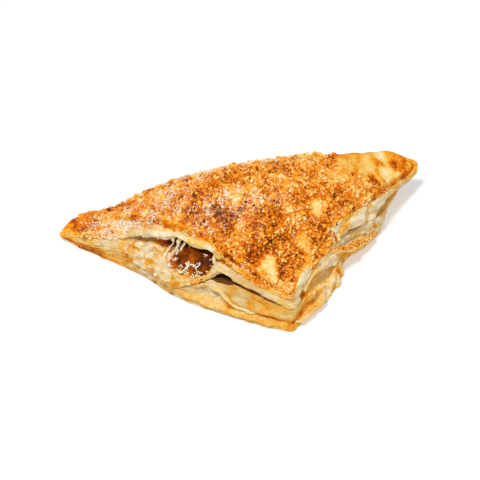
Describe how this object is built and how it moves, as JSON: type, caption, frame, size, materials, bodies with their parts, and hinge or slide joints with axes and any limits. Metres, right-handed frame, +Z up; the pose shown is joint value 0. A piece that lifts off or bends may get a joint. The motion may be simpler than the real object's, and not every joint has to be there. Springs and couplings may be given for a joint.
{
  "type": "filled pastry turnover",
  "caption": "Triangular puff pastry turnover with flaky open edges, a sugar crumb topping and a dark fruit filling that shows at a side.",
  "frame": {"origin": "on the table under the middle of the turnover's box", "axes": "+X along the fold towards the raised tip, -Y towards the square corner, +Z up"},
  "size_m": [0.1784, 0.0944, 0.0479],
  "materials": {
    "pastry": "baked golden brown crust, cream at the cut edges",
    "filling": "glossy dark brown cooked fruit"
  },
  "bodies": {
    "root": {"pastry": "pastry", "filling": "filling"}
  },
  "joints": []
}
